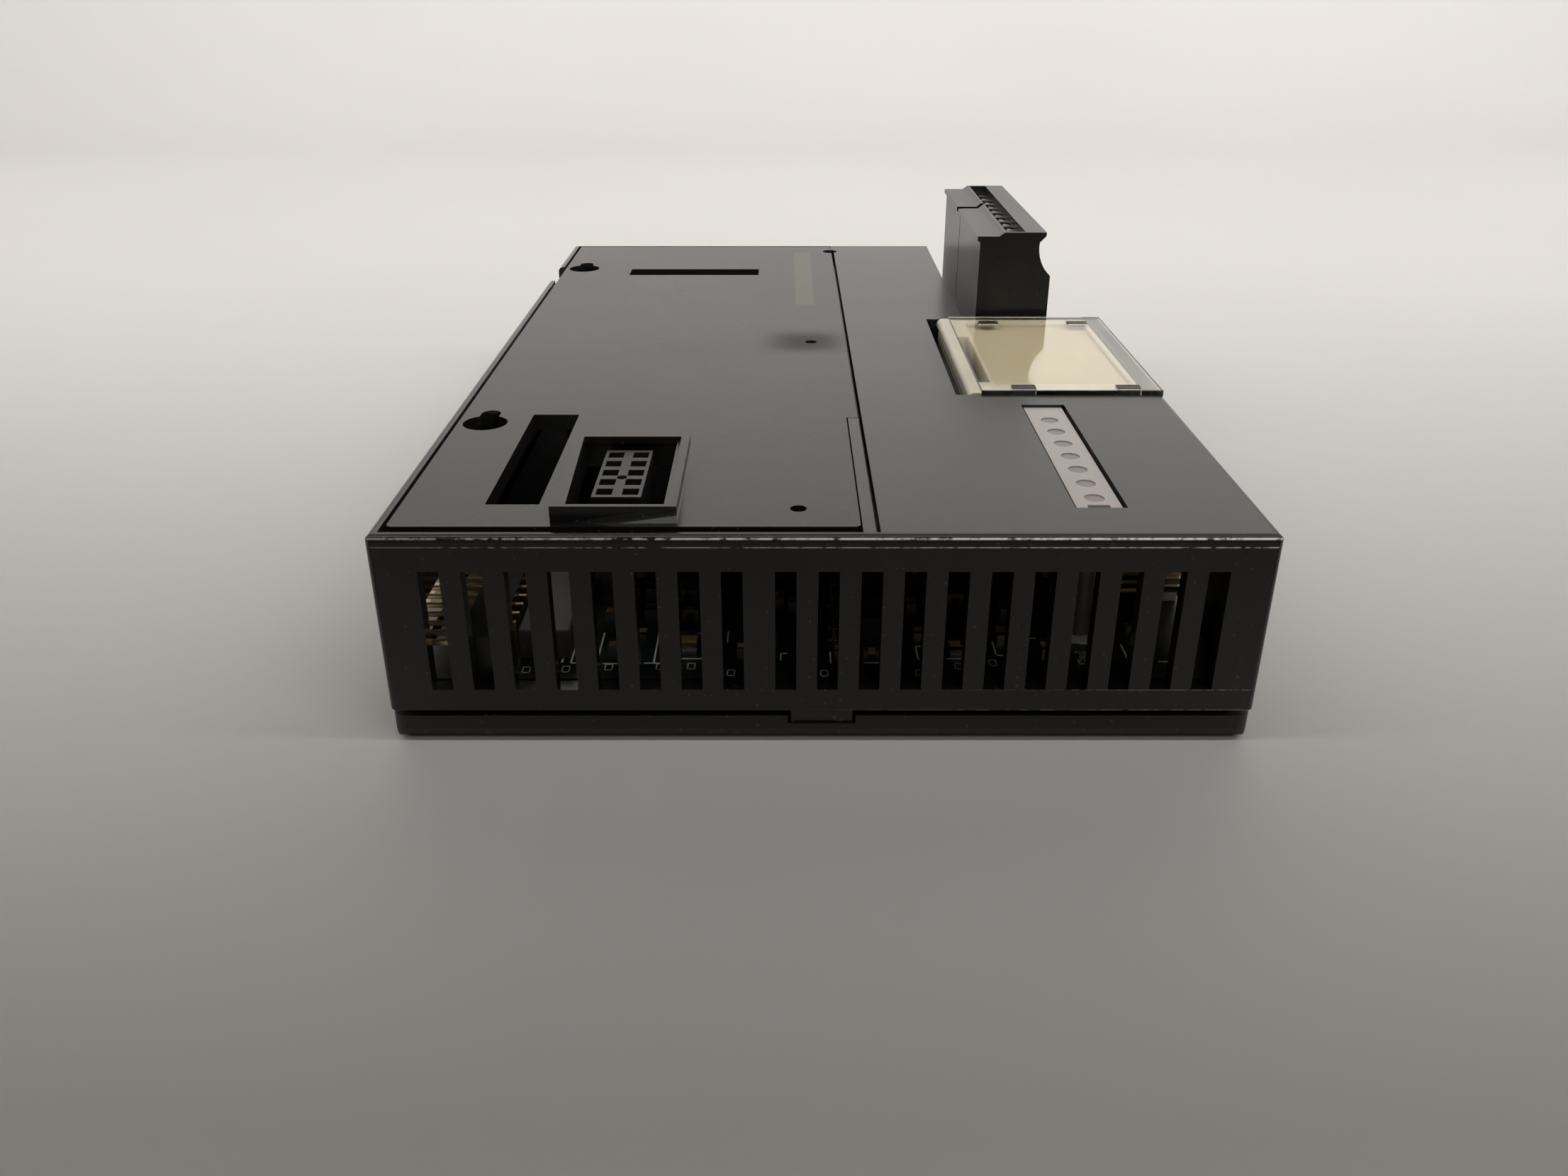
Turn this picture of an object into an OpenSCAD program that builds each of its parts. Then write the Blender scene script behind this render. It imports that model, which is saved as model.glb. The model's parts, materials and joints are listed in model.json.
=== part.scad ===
// Flat expansion module for an industrial controller: a vented case in two
// shells, two circuit boards, an inset side plate with a socket, a row of
// status lights, a hinged clear window over a label and a pluggable screw
// terminal that stands in a corner bay.
//
// Lengths are in millimetres and +Z is up. The origin is at the centre of the
// underside. Places are written as they are measured on the case: X from its
// left side, Y from its vented front and Z from the underside.

/* [Case] */
// Width of the case, along the vented front
case_w = 84; // [84:1:90]
// Depth of the case, from front to rear
case_l = 131; // [130:1:136]
// Height of the closed case
case_h = 22; // [22:0.5:24]
// Thickness of the upright walls
wall = 1.8; // [1.6:0.1:2]
// Thickness of the top wall
top_t = 2; // [1.8:0.1:2.2]
// Radius along the top edges and the upright corners
edge_r = 0.8; // [0.4:0.1:1]
// Height of the base cover's rim
base_h = 2.9; // [2.7:0.1:3]
// Open height of the groove between the two shells
seam = 0.6; // [0.4:0.1:0.7]

/* [Vents] */
// Width of one vent slot
vent_w = 2; // [1.5:0.1:2.4]
// Distance from one slot to the next
vent_pitch = 4; // [3.9:0.1:4.1]
// Height of the lower ends of the slots
vent_low = 5.8; // [5:0.2:7]
// Height of the upper ends of the slots
vent_high = 18.4; // [16:0.2:18.6]

/* [Side plate] */
// Thickness of the inset side plate
plate_t = 1.8; // [1.6:0.1:2]
// Radius of the round part of a keyhole
keyhole_r = 2.5; // [2.2:0.1:2.6]
// Width of a keyhole's narrow slot
keyhole_slot_w = 2.2; // [2:0.1:2.6]
// Distance between the two keyholes
keyhole_spacing = 80; // [79:0.5:81]
// How far the socket's collar stands above the plate
collar_h = 1.7; // [1:0.1:2]

/* [Status lights] */
// Number of status lights
light_count = 7; // [5:1:7]
// Distance from one light to the next
light_pitch = 3.9; // [3.5:0.1:4]
// Radius of one light
light_r = 1; // [0.8:0.1:1.2]

/* [Terminal] */
// Number of poles of the pluggable terminal
poles = 11; // [8:1:11]
// Distance from one pole to the next
pole_pitch = 3.81; // [3.5:0.01:3.81]
// Height of the plugged terminal above the underside
plug_top = 34; // [33:0.5:36]

/* [Hidden] */
$fn = 48;
eps = 0.01;              // overlap that keeps unions and cuts clean

SCREW_NAMES = [for (i = [1:poles]) str("terminal_screw_", i)];

// Levels, from the underside
shell_z = base_h + seam;           // lower edge of the upper shell
ledge_z = case_h - plate_t;        // ledge that the side plate lies on
ledge_t = 1.4;
ceiling_z = case_h - top_t;        // underside of the top wall
floor_t = 1.6;                     // floor of the base cover
board_z = [4.2, 5.8];              // main board
deck_z = [12.6, 14.2];             // upper board
bay_floor_z = 8.5;
bay_floor_t = 1.2;
pocket_z = 19;                     // floor of the window pocket
pocket_t = 1.2;

// Side plate, in the left half of the top
rim_t = 0.9;                       // case wall left standing around the recess
recess_x = [1.1, 46.8];
recess_y = [rim_t, case_l - rim_t];
rib_x = 45.6;                      // rib of the case beside the front of the plate
rib_end_y = 33.2;
groove_w = 0.4;
plate_x = [1.5, 45.45, 46.75];     // left edge, front right edge, rear right edge
plate_y = [2.15, case_l - 1.3];
plate_step_y = rib_end_y + 0.15;
keyhole_x = 4.6;
keyhole_y = 31.5;
keyhole_slot_l = 4.4;
long_slot_x = [9.6, 14.8];
long_slot_y = [7.5, 34.4];
far_slot_x = [12.7, 34.1];
far_slot_y = [106.6, 111];
locating_holes = [[39.7, 6.5], [42, case_l / 2]];
locating_r = 0.8;
edge_notch_y = [102.4, 112.6];
groove_end = [46.5, 125.5];
groove_end_r = 1.25;

// Socket in the collar
collar_x = [16.6, 28.4];
collar_y = [2.9, 22.8];
collar_in_x = [18.05, 27.5];
collar_in_y = [3.5, 22.1];
collar_skew = 0.8;                 // how far the opening's left side runs out to the rear
collar_step = 0.4;                 // small step down inside the right wall
collar_lip = [0.35, 0.85];         // overhang and height of the lip on the rear wall
socket_x = [19.8, 24.65];
socket_y = [7.4, 20.4];
socket_top = case_h + 0.8;
cell = 1.55;
cell_pitch = 2.54;
cell_rows = 5;
socket_mid = [(socket_x[0] + socket_x[1]) / 2, (socket_y[0] + socket_y[1]) / 2];

// Light strip
lens_x = [66.45, 70.9];
lens_y = [6.8, 37.9];
lens_gap = 0.3;
lens_drop = 0.3;
light_x = (lens_x[0] + lens_x[1]) / 2;
light_y = 9.9;

// Window, flap and label
window_x = [59, case_w - wall];
window_y = [41.8, 77.7];
flap_x = [61.3, case_w];
flap_clear = 0.3;
flap_y = [window_y[0] + flap_clear, window_y[1] - flap_clear];
flap_t = 1;
flap_z = case_h - 0.55;            // underside of the flap
hinge_r = 0.8;
hinge_pin_r = 0.4;
hinge_bore_r = 0.45;
hinge_z = flap_z - 0.1;
hinge_pin_l = 3.4;
tray_x = [60.8, 81.9];
tray_y = [42.1, 77.4];
tray_t = 1.4;
tray_border_h = 0.8;
tray_rim_x = 62.3;                 // left of here the tray is lower, under the hinge
tray_slot_x = [62.5, 63.9];
card_x = [64.4, 81.3];
card_y = [46.4, 75.1];
card_t = 0.3;
clip_w = 2.6;
clip_l = 1.6;
clip_x = [67.4, 80.1];
clip_y = [43.5, 74.2];

// Bay in the rear right corner
bay_x = 64.3;
bay_y = 79;
bay_wall = 1.3;

// Pluggable terminal and its header
plug_x = 66.4;
plug_w = 10.4;
plug_y = bay_y + 0.5;
plug_z = 17.2;
plug_l = poles * pole_pitch;
pole_x = plug_x + 5.1;
tongue_w = 5.1;
tongue_z = 9;
header_w = 8.1;
header_top = 16.9;
header_floor = 7.6;
header_wall = 1.2;
header_end_wall = 0.6;
channel_w = 2.7;
channel_z = plug_top - 1.2;
channel_end_wall = 0.5;
hollow_r = 5.5;                    // hollow along the plug's right side
hollow_at = [plug_w + 3.6, plug_top - 2];
split_y = plug_y + 6 * pole_pitch; // where the plug's two blocks meet
wire_z = 29.7;
wire_r = 1.15;
clamp_z = [27.9, 31.5];
clamp_w = 3;
blade_gap = 1.2;
blade_t = 0.3;
blade_w = 1.4;
pin_w = 0.9;
screw_head_r = 1.25;
screw_hole_r = 1.35;
screw_shank_r = 0.8;

// Bus connectors in the side walls
bus_pitch = 2;
bus_pin_w = 0.5;
bus_z = 8.8;
bus_open_z = [6.6, 10.3];
bus_right_open_z = [5.9, 10.3];
bus_left_y = [2.4, 36];
bus_right_y = [14, 36];
bus_body_x = [6.8, 10.6];
bus_right_body_x = [2.7, 5];        // measured from the right side
bus_right_body_y = [19, 36];
bus_bend_x = 10.9;

// Places of the screws that hold the boards, and of the pins between them
board_screw_places = [[14, 40], [79, 42], [5.5, 125], [59, 125]];
standoff_places = [[19.5, 25.5], [41, 20], [19.5, 57], [41, 57]];
link_x = 31;
link_y = [34, 57];
opto_pitch = 7.6;

// ---- shared shapes -------------------------------------------------------

// A box between two points of the case
module block(x, y, z) {
    translate([x[0] - case_w / 2, y[0] - case_l / 2, z[0]])
        cube([x[1] - x[0], y[1] - y[0], z[1] - z[0]]);
}

// Its children, moved to a point of the case
module at(x, y, z = 0) {
    translate([x - case_w / 2, y - case_l / 2, z]) children();
}

module rounded_rect(w, h, r) {
    square([w - 2 * r, h], center = true);
    square([w, h - 2 * r], center = true);
    for (sx = [-1, 1], sy = [-1, 1])
        translate([sx * (w / 2 - r), sy * (h / 2 - r)]) circle(r);
}

// The case's outer form between two levels, with upright corners of radius r
// and rounded upper or lower edges
module case_form(z, r, round_top) {
    tall = 2 * (z[1] - z[0]);
    mid = round_top ? z[1] - tall / 2 : z[0] + tall / 2;
    intersection() {
        translate([0, 0, z[0]]) linear_extrude(z[1] - z[0]) rounded_rect(case_w, case_l, r);
        translate([0, 0, mid]) rotate([90, 0, 0])
            linear_extrude(case_l, center = true) rounded_rect(case_w, tall, r);
        translate([0, 0, mid]) rotate([90, 0, 90])
            linear_extrude(case_w, center = true) rounded_rect(case_l, tall, r);
    }
}

// Horizontal pins on one side of the case, each bent down into the main board;
// seen from the left side, and mirrored for the right
module bus_pins(y) {
    count = floor((y[1] - y[0] - 1) / bus_pitch);
    for (i = [0:count - 1]) {
        pin_y = y[0] + 1 + i * bus_pitch;
        across = [pin_y, pin_y + bus_pin_w];
        block([0.4, bus_bend_x + bus_pin_w], across, [bus_z, bus_z + bus_pin_w]);
        block([bus_bend_x, bus_bend_x + bus_pin_w], across, [board_z[0] - 0.6, bus_z + eps]);
    }
}

module bus_header(x, y, pins_y) {
    difference() {
        block(x, y, [board_z[1], bus_z + 1.5]);
        bus_pins(pins_y);
    }
}

// ---- case ----------------------------------------------------------------

module vent_row(x_list, y) {
    for (x = x_list)
        block([x, x + vent_w], y, [vent_low, vent_high]);
}

// Slots stand in two groups, with a wider bar between them
function vent_group(start, count) = [for (i = [0:count - 1]) start + i * vent_pitch];

module keyhole(z) {
    at(0, 0, z[0]) linear_extrude(z[1] - z[0]) {
        circle(keyhole_r);
        translate([-keyhole_slot_w / 2, 0]) square([keyhole_slot_w, keyhole_slot_l - keyhole_slot_w / 2]);
        translate([0, keyhole_slot_l - keyhole_slot_w / 2]) circle(keyhole_slot_w / 2);
    }
}

module housing() {
    cavity_y = [wall, case_l - wall];
    color("#1c1c1c") difference() {
        union() {
            difference() {
                case_form([shell_z, case_h], edge_r, true);
                // inside: lower under the plate, where the ledge stands
                block([wall, case_w - wall], cavity_y, [shell_z - eps, ledge_z - ledge_t]);
                block([48.6, case_w - wall], cavity_y, [ledge_z - ledge_t - eps, ceiling_z]);
            }
            // tray under the window
            block([window_x[0] - 1.2, case_w - wall + eps], [window_y[0] - 1.2, window_y[1] + eps],
                  [pocket_z - pocket_t, ceiling_z + eps]);
            // walls and floor of the terminal bay
            block([bay_x - bay_wall, case_w - wall + eps], [bay_y - bay_wall, bay_y],
                  [bay_floor_z - bay_floor_t, ceiling_z + eps]);
            block([bay_x - bay_wall, bay_x], [bay_y - bay_wall, case_l - wall + eps],
                  [bay_floor_z - bay_floor_t, ceiling_z + eps]);
            block([bay_x - bay_wall, case_w - wall + eps], [bay_y - bay_wall, case_l - wall + eps],
                  [bay_floor_z - bay_floor_t, bay_floor_z]);
            // latch tongue that drops into the base cover's rim
            block([case_w / 2 - 3, case_w / 2 + 3], [0.3, wall], [base_h - 0.9, shell_z + eps]);
        }
        // recess for the side plate, its opening and the groove beside it
        block([recess_x[0], rib_x], [recess_y[0], rib_end_y + eps], [ledge_z, case_h + 1]);
        block(recess_x, [rib_end_y, recess_y[1]], [ledge_z, case_h + 1]);
        block([recess_x[1] - eps, recess_x[1] + groove_w], [recess_y[0], groove_end[1]],
              [ledge_z, case_h + 1]);
        difference() {
            block([wall + 0.2, 44], [3.4, case_l - 3], [ledge_z - ledge_t - 1, ledge_z + eps]);
            // bar left standing under the plate's far slot
            block([far_slot_x[0] - 1.5, far_slot_x[1] + 1.5], [far_slot_y[0] - 1.5, far_slot_y[1] + 1.5],
                  [0, case_h]);
        }
        at(groove_end[0], groove_end[1], ledge_z - ledge_t - 1) cylinder(r = groove_end_r, h = plate_t + ledge_t + 2);
        // gap in the left rim beside the rear keyhole
        block([-1, recess_x[0] + eps], edge_notch_y, [case_h - 5, case_h + 1]);
        // slot for the light strip
        block([lens_x[0] - lens_gap, lens_x[1] + lens_gap], [lens_y[0] - 0.1, lens_y[1] + 0.1],
              [ceiling_z - 1, case_h + 1]);
        // window pocket, open to the right under the flap's free edge
        block(window_x, window_y, [pocket_z, case_h + 1]);
        block([window_x[1] - eps, case_w + 1], window_y, [flap_z - flap_clear, case_h + 1]);
        for (y = [window_y[0] - 1, window_y[1]])
            hinge_hole(y - eps, 1 + 2 * eps);
        // terminal bay, open to the right and to the rear
        block([bay_x, case_w + 1], [bay_y, case_l + 1], [bay_floor_z, case_h + 1]);
        block([pole_x - header_w / 2 - 0.3, pole_x + header_w / 2 + 0.3],
              [plug_y - 0.3, plug_y + plug_l + 0.3], [bay_floor_z - bay_floor_t - 1, bay_floor_z + 1]);
        // vents at the front, and at the rear as far as the bay
        vent_row(concat(vent_group(4.5, 8), vent_group(37.5, 11)), [-1, wall + 1]);
        vent_row(concat(vent_group(4.5, 8), vent_group(37.5, 6)), [case_l - wall - 1, case_l + 1]);
        // openings for the bus pins
        block([-1, wall + 1], bus_left_y, bus_open_z);
        block([case_w - wall - 1, case_w + 1], bus_right_y, bus_right_open_z);
    }
}

module hinge_hole(y, l) {
    at(flap_x[0], y, hinge_z) rotate([-90, 0, 0]) cylinder(r = hinge_pin_r, h = l);
}

module base_cover() {
    lip_x = [wall + 0.1, case_w - wall - 0.1];
    lip_y = [wall + 0.1, case_l - wall - 0.1];
    lip_t = 1;
    post_r = 2.4;
    color("#1a1a1a") difference() {
        union() {
            case_form([0, base_h], 1.6, false);
            // lip that stands inside the upper shell
            block(lip_x, lip_y, [base_h - eps, board_z[0] - 0.2]);
        }
        difference() {
            block([lip_x[0] + lip_t, lip_x[1] - lip_t], [lip_y[0] + lip_t, lip_y[1] - lip_t],
                  [floor_t, case_h]);
            for (p = board_screw_places) at(p[0], p[1]) cylinder(r = post_r, h = board_z[0]);
        }
        for (p = board_screw_places) at(p[0], p[1], floor_t) cylinder(r = 1, h = case_h);
        // notch for the shell's latch tongue
        block([case_w / 2 - 3.3, case_w / 2 + 3.3], [-1, wall + 0.1], [base_h - 0.9, case_h]);
    }
}

// The collar's opening between two levels, with its right and rear sides
module collar_opening(right, rear, z) {
    at(0, 0, z[0]) linear_extrude(z[1] - z[0])
        polygon([[collar_in_x[0], collar_in_y[0]], [right, collar_in_y[0]],
                 [right, rear], [collar_in_x[0] - collar_skew, rear]]);
}

module mounting_plate() {
    collar_top = case_h + collar_h;
    z = [ledge_z, case_h];
    cut_z = [ledge_z - 1, case_h + collar_h + 1];
    corner = 0.6;
    color("#262626") difference() {
        union() {
            block([plate_x[0] + corner, plate_x[1] - corner], [plate_y[0], plate_step_y], z);
            block([plate_x[0], plate_x[1]], [plate_y[0] + corner, plate_step_y], z);
            for (x = [plate_x[0] + corner, plate_x[1] - corner])
                at(x, plate_y[0] + corner, z[0]) cylinder(r = corner, h = plate_t);
            block([plate_x[0], plate_x[2]], [plate_step_y - eps, plate_y[1]], z);
            block(collar_x, collar_y, [z[0], case_h + collar_h]);
        }
        collar_opening(collar_in_x[1], collar_in_y[1], [collar_top - collar_step, cut_z[1]]);
        collar_opening(collar_in_x[1] - collar_step, collar_in_y[1], [collar_top - 1, collar_top]);
        collar_opening(collar_in_x[1] - collar_step, collar_in_y[1] + collar_lip[0],
                       [cut_z[0], collar_top - collar_lip[1]]);
        for (y = [keyhole_y, keyhole_y + keyhole_spacing])
            translate([keyhole_x, y, 0]) keyhole(cut_z);
        block(long_slot_x, long_slot_y, cut_z);
        block(far_slot_x, far_slot_y, cut_z);
        for (p = locating_holes) at(p[0], p[1], cut_z[0]) cylinder(r = locating_r, h = case_h);
        // room for the round hole at the end of the groove
        at(groove_end[0], groove_end[1], cut_z[0]) cylinder(r = groove_end_r, h = case_h);
    }
}

// ---- socket and boards ---------------------------------------------------

module cells(z, size) {
    for (i = [-1, 1], j = [0:cell_rows - 1])
        at(socket_mid[0] + i * cell_pitch / 2, socket_mid[1] + (j - (cell_rows - 1) / 2) * cell_pitch, z[0])
            translate([-size / 2, -size / 2, 0]) cube([size, size, z[1] - z[0]]);
}

module expansion_socket() {
    color("#2a2a2a") difference() {
        block(socket_x, socket_y, [deck_z[1], socket_top]);
        cells([deck_z[1] + 1.2, socket_top + 1], cell);
        at(socket_mid[0], socket_mid[1] - cell_pitch / 2, socket_top - 2) cylinder(r = 0.5, h = 3);
    }
}

module socket_contacts() {
    low = deck_z[1] + 1.2;
    color("#c8a048") difference() {
        cells([low, socket_top - 1.6], cell);
        cells([low + 0.4, socket_top], cell - 0.6);
    }
}

module upper_board() {
    color("#0c1a14") difference() {
        block([16.5, 44], [14.6, 60], deck_z);
        for (p = standoff_places) at(p[0], p[1], 0) cylinder(r = 1.1, h = case_h);
        link_pin_holes();
    }
}

module board_standoffs() {
    color("#b9a36a") for (p = standoff_places) at(p[0], p[1], board_z[1]) difference() {
        cylinder(r = 2.2, h = deck_z[0] - board_z[1], $fn = 6);
        translate([0, 0, 1]) cylinder(r = 1, h = deck_z[0]);
    }
}

// Pan-head screws: four hold the main board, four hold the upper board
module board_screws() {
    color("silver") {
        for (p = board_screw_places) at(p[0], p[1], board_z[1]) {
            cylinder(r = 1.9, h = 1.2);
            translate([0, 0, -3.4]) cylinder(r = 0.98, h = 3.5);
        }
        for (p = standoff_places) at(p[0], p[1], deck_z[1]) {
            cylinder(r = 1.9, h = 1.2);
            translate([0, 0, -4.6]) cylinder(r = 0.98, h = 4.7);
        }
    }
}

module link_pin_grid(z, size) {
    for (x = [link_x, link_x + cell_pitch], y = [link_y[0] + 1.4:cell_pitch:link_y[1] - 1])
        at(x, y, z[0]) translate([-size / 2, -size / 2, 0]) cube([size, size, z[1] - z[0]]);
}

module link_pin_holes() {
    link_pin_grid([0, case_h], 0.64);
}

module link_header() {
    color("#202020") difference() {
        block([link_x - 1.3, link_x + cell_pitch + 1.3], link_y, [board_z[1], deck_z[0]]);
        link_pin_holes();
    }
}

module link_pins() {
    color("#c8a048") link_pin_grid([board_z[0] - 0.5, deck_z[1] + 0.8], 0.64);
}

module main_board() {
    color("#0b1712") difference() {
        block([2.2, case_w - 2.2], [2.2, case_l - 2.2], board_z);
        for (p = board_screw_places) at(p[0], p[1], 0) cylinder(r = 1.1, h = case_h);
        bus_pins(bus_left_y);
        right_side() bus_pins(bus_right_y);
        link_pin_holes();
        header_pin_grid([0, case_h]);
    }
}

// Its children, drawn for the left side, on the right side of the case
module right_side() {
    mirror([1, 0, 0]) children();
}

module bus_header_left() { color("#222222") bus_header(bus_body_x, bus_left_y, bus_left_y); }
module bus_pins_left() { color("#d4ac5a") bus_pins(bus_left_y); }
module bus_header_right() {
    color("#d9d6cf") right_side() bus_header(bus_right_body_x, bus_right_body_y, bus_right_y);
}
module bus_pins_right() { color("#d4ac5a") right_side() bus_pins(bus_right_y); }

// ---- parts on the main board ---------------------------------------------

module processor_chip() {
    color("#101010") block([36, 48], [72, 84], [board_z[1], board_z[1] + 1.4]);
}

module optocouplers() {
    color("#161616") for (i = [0:light_count - 1])
        block([44, 49.5], [9 + i * opto_pitch, 14 + i * opto_pitch], [board_z[1], board_z[1] + 3]);
}

module capacitors() {
    color("#7d8790") for (p = [[53, 70, 3.1], [26, 70, 3.1], [26, 82, 4]])
        at(p[0], p[1], board_z[1]) cylinder(r = p[2], h = 9.5);
}

module power_converter() {
    color("#8c8a86") block([11.8, 17], [6, 23.5], [board_z[1], board_z[1] + 3.3]);
}

module choke() {
    color("#3a3a3c") at(12, 70, board_z[1]) difference() {
        cylinder(r = 5, h = 5);
        translate([0, 0, 1]) cylinder(r = 1.8, h = 5);
    }
}

module crystal_can() {
    color("#b0b0ac") block([52, 55.5], [80, 89], [board_z[1], board_z[1] + 3.4]);
}

// ---- status lights -------------------------------------------------------

module light_places(z, r, h) {
    for (i = [0:light_count - 1]) at(light_x, light_y + i * light_pitch, z) cylinder(r = r, h = h);
}

module led_lens() {
    color("#b9b2aa") difference() {
        union() {
            block(lens_x, lens_y, [ceiling_z - eps, case_h - lens_drop]);
            block([lens_x[0] - 1.2, lens_x[1] + 1.2], [lens_y[0] - 1, lens_y[1] + 1],
                  [ceiling_z - 1.2, ceiling_z]);
        }
        light_places(ceiling_z - 2, light_r, case_h);
        block([light_x - 1.1, light_x + 1.1], [lens_y[0] + 0.2, lens_y[0] + 1.3], [ceiling_z - 2, case_h]);
    }
}

module light_pipes() {
    color("#8d7f80") light_places(board_z[1] + 1.2, light_r, case_h - lens_drop - 0.1 - board_z[1] - 1.2);
}

module status_leds() {
    color("#e6e2d2") for (i = [0:light_count - 1])
        block([light_x - 0.8, light_x + 0.8],
              [light_y + i * light_pitch - 0.6, light_y + i * light_pitch + 0.6],
              [board_z[1], board_z[1] + 1]);
}

// ---- window --------------------------------------------------------------

module label_tray() {
    top = pocket_z + tray_t;
    color("#d6cfbd") difference() {
        block(tray_x, tray_y, [pocket_z, top + tray_border_h]);
        block([tray_x[0] - 1, tray_rim_x], [tray_y[0] - 1, tray_y[1] + 1], [top - 0.1, case_h]);
        block(card_x, card_y, [top, case_h]);
        block(tray_slot_x, [47.2, 68.4], [pocket_z - 0.1, case_h]);
    }
}

module label_card() {
    low = pocket_z + tray_t;
    color("#a89a70") block([card_x[0] + 0.1, card_x[1] - 0.1], [card_y[0] + 0.1, card_y[1] - 0.1],
                           [low, low + card_t]);
}

module clip_places(w, l) {
    for (x = clip_x, y = clip_y)
        block([x - w / 2, x + w / 2], [y - l / 2, y + l / 2], [flap_z - eps, flap_z + flap_t]);
}

// Four clips pressed into the flap, which hold the card under it
module card_clips() {
    color("#4a4336") clip_places(clip_w, clip_l);
}

module window_flap() {
    color([0.8, 0.77, 0.66, 0.4]) difference() {
        block([flap_x[0] + hinge_r, flap_x[1]], flap_y, [flap_z, flap_z + flap_t]);
        translate([0, 0, -0.5]) clip_places(clip_w + 0.1, clip_l + 0.1);
        translate([0, 0, 0.5]) clip_places(clip_w + 0.1, clip_l + 0.1);
    }
}

// Opaque bar along the flap's left edge, which turns on the two pins
module hinge_bar() {
    color("#d6cfbd") difference() {
        union() {
            at(flap_x[0], flap_y[0], hinge_z) rotate([-90, 0, 0]) cylinder(r = hinge_r, h = flap_y[1] - flap_y[0]);
            block([flap_x[0], flap_x[0] + hinge_r], flap_y, [flap_z, hinge_z + hinge_r]);
        }
        for (start = [flap_y[0] - 1, flap_y[1] - hinge_pin_l])
            at(flap_x[0], start, hinge_z) rotate([-90, 0, 0]) cylinder(r = hinge_bore_r, h = hinge_pin_l + 1);
    }
}

module flap_hinge_pins() {
    color("silver") for (start = [window_y[0] - 1, window_y[1] + 1 - hinge_pin_l])
        at(flap_x[0], start, hinge_z) rotate([-90, 0, 0]) cylinder(r = hinge_pin_r, h = hinge_pin_l);
}

// ---- pluggable terminal --------------------------------------------------

function pole_y(i) = plug_y + (i + 0.5) * pole_pitch;

module at_poles(z) {
    for (i = [0:poles - 1]) at(pole_x, pole_y(i), z) children();
}

module centred_block(w, l, z) {
    translate([-w / 2, -l / 2, z[0]]) cube([w, l, z[1] - z[0]]);
}

module header_pin_grid(z) {
    at_poles(0) centred_block(pin_w, pin_w, z);
}

module terminal_header() {
    color("#1b1b1b") difference() {
        at(pole_x, plug_y + plug_l / 2) centred_block(header_w, plug_l, [board_z[1], header_top]);
        at(pole_x, plug_y + plug_l / 2)
            centred_block(header_w - 2 * header_wall, plug_l - 2 * header_end_wall, [header_floor, case_h]);
        header_pin_grid([0, case_h]);
    }
}

module header_pins() {
    color("#c9c4b8") header_pin_grid([board_z[0] - 0.8, 14.5]);
}

// The plug's end profile: a stepped left ridge with a lip, a right ridge that
// overhangs the hollow right side
module plug_profile() {
    left_lip = [0.4, 0.6];
    ledge_w = 2.7;
    ledge_z = plug_top - 0.55;
    neck = [hollow_at[0] - 5.467, plug_top - 1.4];
    right_lip_x = plug_w - 1;
    difference() {
        polygon([
            [0, plug_z], [plug_w, plug_z], [plug_w, neck[1]], neck,
            [right_lip_x, plug_top - 0.5], [right_lip_x, plug_top],
            [ledge_w + 0.7, plug_top], [ledge_w, ledge_z], [-left_lip[0], ledge_z],
            [-left_lip[0], ledge_z - left_lip[1]], [0, ledge_z - left_lip[1] - 0.3]
        ]);
        intersection() {
            translate(hollow_at) circle(hollow_r);
            translate([neck[0] - 1, plug_z]) square([plug_w, neck[1] - plug_z]);
        }
    }
}

module terminal_plug() {
    mid_y = plug_y + plug_l / 2;
    tongue_l = plug_l - 2 * header_end_wall - 0.6;
    joint_w = 0.4;
    color("#1e1e1e") difference() {
        union() {
            at(plug_x, plug_y + plug_l) rotate([90, 0, 0]) linear_extrude(plug_l) plug_profile();
            at(pole_x, mid_y) centred_block(tongue_w, tongue_l, [tongue_z, plug_z + eps]);
        }
        // channel over the screws
        at(pole_x, mid_y) centred_block(channel_w, plug_l - 2 * channel_end_wall, [channel_z, plug_top + 1]);
        at_poles(0) {
            // contact chamber, clamp chamber, screw hole and wire entry
            centred_block(2.4, blade_w + 0.2, [tongue_z - 1, clamp_z[0] + eps]);
            centred_block(clamp_w + 0.1, clamp_w + 0.1, [clamp_z[0], clamp_z[1] + 0.05]);
            translate([0, 0, clamp_z[1]]) cylinder(r = screw_hole_r, h = plug_top);
            translate([0, 0, wire_z]) rotate([0, 90, 0]) cylinder(r = wire_r, h = plug_w);
        }
        // joint between the plug's two blocks, and the coding notch behind it
        block([plug_x - 1, plug_x + 0.3], [split_y - joint_w / 2, split_y + joint_w / 2],
              [plug_z + 2, plug_top + 1]);
        block([plug_x - 1, pole_x], [split_y, split_y + 1.6], [channel_z, plug_top + 1]);
    }
}

module wire_clamps() {
    color("#c9a55c") at_poles(0) {
        difference() {
            centred_block(clamp_w, clamp_w, clamp_z);
            translate([0, 0, wire_z]) rotate([0, 90, 0]) cylinder(r = 1.05, h = 2 * clamp_w, center = true);
            translate([0, 0, wire_z]) cylinder(r = screw_shank_r + 0.1, h = clamp_w);
        }
        for (side = [-1, 1])
            translate([side * (blade_gap + blade_t) / 2, 0, 0])
                centred_block(blade_t, blade_w, [tongue_z + 1, clamp_z[0] + 0.1]);
    }
}

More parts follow.
